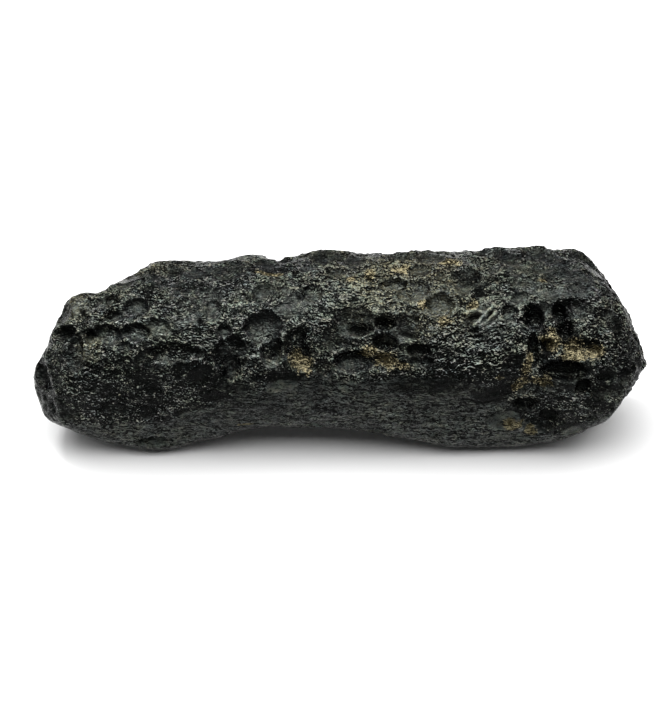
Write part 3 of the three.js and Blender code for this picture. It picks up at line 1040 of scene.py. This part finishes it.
# The plates' seams, tones and specks, with the painted light and shade of small bowls.
plate_marks_and_shading = add_up(
    0.0,
    (scallop_shading_at(wide, 0.6), 0.0, -0.18),
    (scallop_shading_at(wide, 1.5), 0.0, -0.15),
    (scallop_shading_at(wide, 3.0), 0.0, -0.2),
    (fine_seams, 0.0, -0.25),
    (plate_tones(wide, 2.6), 0.5, 0.22),
    (spread(fine_specks, 0.57, 0.67), 0.0, 0.45),
    (spread(fine_specks, 0.45, 0.35), 0.0, -0.5),
)
# The fine marks: the plates' marks, specks, dashes and flow lines, with painted crease shade, painted relief light and
# painted glints.
fine_marks_and_shading = add_up(
    0.0,
    (plate_marks_and_shading, 0.0, uncombed),
    (scallop_shading_at(vectors("MULTIPLY", in_mm, (0.5, 1.0, 1.0)), 1.7), 0.0, maths("MULTIPLY", drawn_out, -0.07)),
    (specks, 0.5, maths("MULTIPLY_ADD", uncombed, 0.25, 0.07)),
    (dashes, 0.5, maths("MULTIPLY", is_combed, 0.3)),
    (fine_crease_shade, 0.0, -0.42),
    (maths("MINIMUM", crisp_relief_shading, 0.15), 0.0, maths("MULTIPLY_ADD", drawn_out, -0.3, 1.0)),
    (sparks, 0.0, 1.0),
    (glints, 0.0, maths("MULTIPLY", is_rough, 0.8)),
    (flow_lines, 0.4, maths("MULTIPLY", is_flowing, 0.45)),
)
# A painted highlight along the higher ridges.
ridge_highlight = maths("MULTIPLY", read_mask("ridged"), spread(crumbs, 0.4, 0.6, 0.4, 1.0))
is_smooth = maths("MAXIMUM", maths("MAXIMUM", is_pale, read_mask("polished")), inside_pit)
liveliness = add_up(
    1.3,
    (is_bare_and_shaded, 0.0, 0.35),
    (is_smooth, 0.0, -0.85),
    (read_mask("clay"), 0.0, 0.7),
    (noise_at(in_mm, 0.35, 1.0), 0.5, 2.5),
)
liveliness = maths("MAXIMUM", liveliness, 0.28)
# Painted light and shade in this sum: pit shade, rim light, ridge highlight, crease shade, tilt, bulge, top, hollow
# blotches, and parts of the fine marks and dark patches.
paleness = add_up(
    0.44,
    (fine_marks_and_shading, 0.0, liveliness),
    (pit_shade, 0.0, 1.0),
    (rim_light, 0.0, 0.2),
    (ridge_highlight, 0.0, 1.0),
    (read_mask("crease_shade"), 0.0, -0.5),
    (read_mask("upfacing_light"), 0.5, 0.32),
    (read_mask("bulge_shading"), 0.5, 0.2),
    (blotches, 0.5, 0.15),
    (hollow_shade_blotches, 0.0, -0.2),
    (tone, 0.5, 0.45),
    (is_bare_and_shaded, 0.0, -0.32),
    (is_wrinkled, 0.0, -0.08),
    (is_pale, 0.0, 0.1),
    (is_olive, 0.0, 0.1),
    (read_mask("topside_light"), 1.0, maths("MULTIPLY_ADD", is_rough, 0.55, 0.15)),
    (is_rough, 1.0, 0.1),
)
paleness = maths("SMOOTH_MIN", maths("MAXIMUM", paleness, -0.6), 0.88, 0.5)
brightness = maths("MULTIPLY", maths("POWER", 50.0, paleness), 0.005)
redness = spread(noise_at(in_mm, 1.3, 2.0, 0.6), 0.35, 0.65, 0.84, 1.06)
blueness = spread(add_up(0.0, (blotches, 0.0, 0.5), (tone, 0.0, 0.5), (paleness, 0.5, 0.1)), 0.4, 0.6, 1.04, 0.78)
tint_parts = {"Red": redness, "Green": 1.02, "Blue": blueness}
grey_tint = add_node("CombineColor", tint_parts).outputs["Color"]
# The film's colour, which carries its painted light and shade.
grey_film_and_shading = vectors("MULTIPLY", grey_tint, brightness)
olive_film_and_shading = vectors("MULTIPLY", brightness, (1.3, 1.2, 0.75))
olive_share = maths("MULTIPLY", is_olive, spread(crumbs, 0.4, 0.6))
film_and_shading = blend_colours(olive_share, grey_film_and_shading, olive_film_and_shading)

# %% Lay the clay and set the gloss
clay_there = add_up(0.0, (read_mask("clay"), 0.0, 0.6), (paleness, 0.0, 0.3), (crumbs, 0.0, 1.0))
clay_share = spread(clay_there, 0.85, 1.12)
clay_colour = vectors("MULTIPLY_ADD", brightness, (1.8, 1.54, 0.9), (0.02, 0.016, 0.007))
tree.links.new(blend_colours(clay_share, film_and_shading, clay_colour), glass.inputs["Base Color"])
gloss = spread(blotches, 0.35, 0.65, 0.14, 0.3)
tree.links.new(maths("MULTIPLY_ADD", clay_share, 0.5, gloss), glass.inputs["Roughness"])
shine = spread(paleness, 0.0, 0.8, 0.02, 0.5)
tree.links.new(shine, glass.inputs["Specular IOR Level"])
glass.inputs["IOR"].default_value = 1.5
glass.inputs["Specular Tint"].default_value = (0.88, 1.0, 0.86, 1.0)
stone.data.materials.append(finish)
print(len(tree.nodes), "nodes in the finish")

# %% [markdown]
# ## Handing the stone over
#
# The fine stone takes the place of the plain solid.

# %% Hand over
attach(stone, "root")
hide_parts("tektite")
